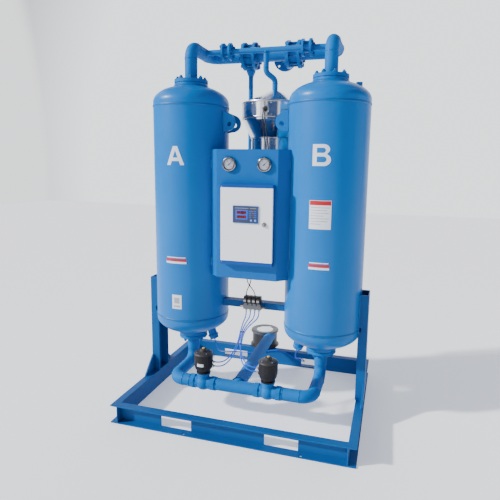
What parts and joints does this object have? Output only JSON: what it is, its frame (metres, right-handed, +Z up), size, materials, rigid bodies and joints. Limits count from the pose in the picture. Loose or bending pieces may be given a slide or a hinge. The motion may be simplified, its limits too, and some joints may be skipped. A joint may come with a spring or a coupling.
{
  "type": "air dryer",
  "caption": "Twin-tower heated desiccant compressed-air dryer on a channel-steel skid, with valves, heater, instrument housing and controller.",
  "frame": {"origin": "on the floor, at the middle of the machine's footprint", "axes": "+X to the right along the front rail, +Y from the front to the back, +Z up"},
  "size_m": [1.542, 1.382, 2.5],
  "materials": {
    "blue_paint": "semi-gloss enamel",
    "bright_cladding": "bright sheet",
    "stainless_steel": "satin",
    "plated_steel": "zinc plated",
    "gasket": "matte",
    "desiccant": "bead bed",
    "black_plastic": "moulded",
    "black_steel": "satin black",
    "white_paint": "powder coat",
    "control_panel": "overlay film",
    "button_grey": "moulded",
    "gauge_steel": "polished",
    "needle_black": "matte",
    "air_tube": "smooth",
    "cable_black": "smooth"
  },
  "bodies": {
    "frame": {"air_tubes_a": "air_tube", "air_tubes_b": "air_tube", "bed_screens": "stainless_steel", "cabinet_housing": "blue_paint", "coil_wires": "cable_black", "cross_beam": "blue_paint", "desiccant_bed_a": "desiccant", "desiccant_bed_b": "desiccant", "enclosure_box": "blue_paint", "exhaust_manifold": "blue_paint", "exhaust_silencer": "black_steel", "flange_gaskets": "gasket", "flange_studs": "plated_steel", "gauge_a": "gauge_steel", "gauge_b": "gauge_steel", "heater_bracket": "blue_paint", "heater_element": "stainless_steel", "heater_jacket": "bright_cladding", "heater_leads": "cable_black", "heater_vessel": "stainless_steel", "left_post": "blue_paint", "lifting_lugs": "blue_paint", "lower_spool_a": "blue_paint", "lower_spool_b": "blue_paint", "outlet_check_valve_a": "blue_paint", "outlet_check_valve_b": "blue_paint", "outlet_spool_a": "blue_paint", "outlet_spool_b": "blue_paint", "outlet_tee": "blue_paint", "post_gussets": "blue_paint", "purge_check_valve_a": "blue_paint", "purge_check_valve_b": "blue_paint", "purge_feed_pipe": "blue_paint", "purge_header": "blue_paint", "rail_tube": "air_tube", "right_post": "blue_paint", "skid_front_rail": "blue_paint", "skid_left_rail": "blue_paint", "skid_rear_rail": "blue_paint", "skid_right_rail": "blue_paint", "solenoid_bank": "black_plastic", "tower_a_vessel": "blue_paint", "tower_b_vessel": "blue_paint", "valve_actuator_a": "black_plastic", "valve_actuator_b": "black_plastic", "valve_body_a": "blue_paint", "valve_body_b": "blue_paint", "vessel_flange_bolts": "plated_steel"},
    "door": {"enclosure_door": "white_paint", "controller": "control_panel"},
    "lock": {"door_lock": "plated_steel"},
    "up_button": {"button_up": "button_grey"},
    "down_button": {"button_down": "button_grey"},
    "needle_a": {"gauge_needle_a": "needle_black"},
    "needle_b": {"gauge_needle_b": "needle_black"},
    "stem_a": {"valve_stem_a": "stainless_steel"},
    "stem_b": {"valve_stem_b": "stainless_steel"},
    "check_disc_a": {"outlet_check_disc_a": "stainless_steel"},
    "check_disc_b": {"outlet_check_disc_b": "stainless_steel"}
  },
  "joints": [
    {"name": "door_hinge", "type": "hinge", "parent": "frame", "child": "door", "pos_m": [-0.15, -0.338, 1.265], "axis": [0, 0, -1], "range_deg": [0, 110]},
    {"name": "lock_turn", "type": "hinge", "parent": "door", "child": "lock", "pos_m": [0.129, -0.345, 1.273], "axis": [0, 1, 0], "range_deg": [0, 90]},
    {"name": "up_press", "type": "slide", "parent": "door", "child": "up_button", "axis": [0, 1, 0], "range_m": [0, 0.0015], "stiffness_N_per_m": 600, "springref_m": -0.001},
    {"name": "down_press", "type": "slide", "parent": "door", "child": "down_button", "axis": [0, 1, 0], "range_m": [0, 0.0015], "stiffness_N_per_m": 600, "springref_m": -0.001},
    {"name": "needle_a_turn", "type": "hinge", "parent": "frame", "child": "needle_a", "pos_m": [-0.114, -0.309, 1.638], "axis": [0, 1, 0], "range_deg": [-178, 88]},
    {"name": "needle_b_turn", "type": "hinge", "parent": "frame", "child": "needle_b", "pos_m": [0.114, -0.309, 1.638], "axis": [0, 1, 0], "range_deg": [-178, 88]},
    {"name": "valve_a_lift", "type": "slide", "parent": "frame", "child": "stem_a", "axis": [0, 0, 1], "range_m": [0, 0.02], "stiffness_N_per_m": 4000, "springref_m": -0.01},
    {"name": "valve_b_lift", "type": "slide", "parent": "frame", "child": "stem_b", "axis": [0, 0, 1], "range_m": [0, 0.02], "stiffness_N_per_m": 4000, "springref_m": -0.01},
    {"name": "check_a_lift", "type": "slide", "parent": "frame", "child": "check_disc_a", "axis": [1, 0, 0], "range_m": [0, 0.012], "stiffness_N_per_m": 200, "springref_m": -0.005},
    {"name": "check_b_lift", "type": "slide", "parent": "frame", "child": "check_disc_b", "axis": [-1, 0, 0], "range_m": [0, 0.012], "stiffness_N_per_m": 200, "springref_m": -0.005}
  ]
}
